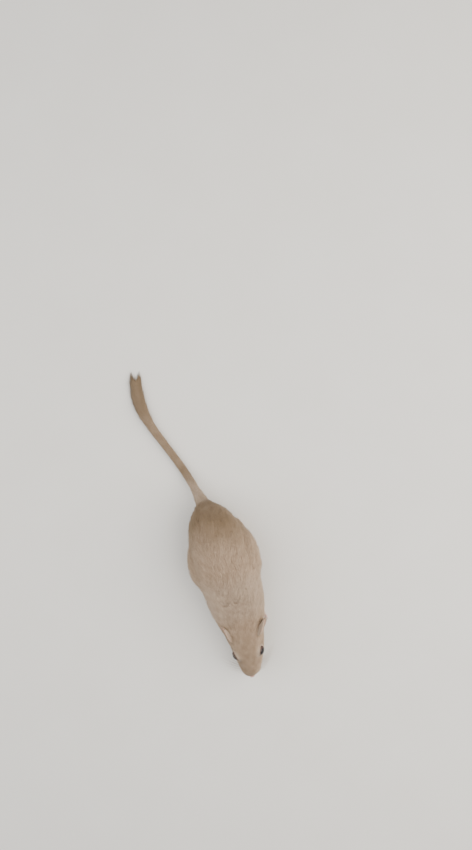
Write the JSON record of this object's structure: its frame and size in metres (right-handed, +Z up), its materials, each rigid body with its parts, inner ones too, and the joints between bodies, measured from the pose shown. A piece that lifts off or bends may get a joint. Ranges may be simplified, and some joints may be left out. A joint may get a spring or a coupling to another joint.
{
  "type": "gerbil",
  "caption": "Life-size gerbil model in a low crouch with its nose near the ground and its furred tail laid out behind in a gentle curve.",
  "frame": {"origin": "centre of the model's box at floor level, below the rump", "axes": "+Z up; the nose points along -Y and the tail lies along +Y; +X is the animal's left side"},
  "size_m": [0.0594, 0.2124, 0.043],
  "materials": {
    "coat": "short soft fawn fur with a darker, greyer root and a paler underside",
    "tail_coat": "short fawn fur that lengthens into a thin brush at the tip",
    "ear_skin": "thin pinkish skin with very short hairs",
    "foot_skin": "pale pinkish skin with sparse short hairs above and bare pads below",
    "bare_skin": "moist bare skin of the nose, lips and lid rims",
    "claw": "pale horn",
    "eye": "wet, nearly black"
  },
  "bodies": {
    "root": {"head": "coat", "neck": "coat", "torso": "coat", "eye_left": "eye", "eye_right": "eye", "ear_left": "ear_skin", "ear_right": "ear_skin", "foreleg_left": "coat", "foreleg_right": "coat", "forepaw_left": "foot_skin", "forepaw_right": "foot_skin", "hindleg_left": "coat", "hindleg_right": "coat", "hindfoot_left": "foot_skin", "hindfoot_right": "foot_skin", "tail_base": "tail_coat", "tail_middle": "tail_coat", "tail_tip": "tail_coat"}
  },
  "joints": []
}
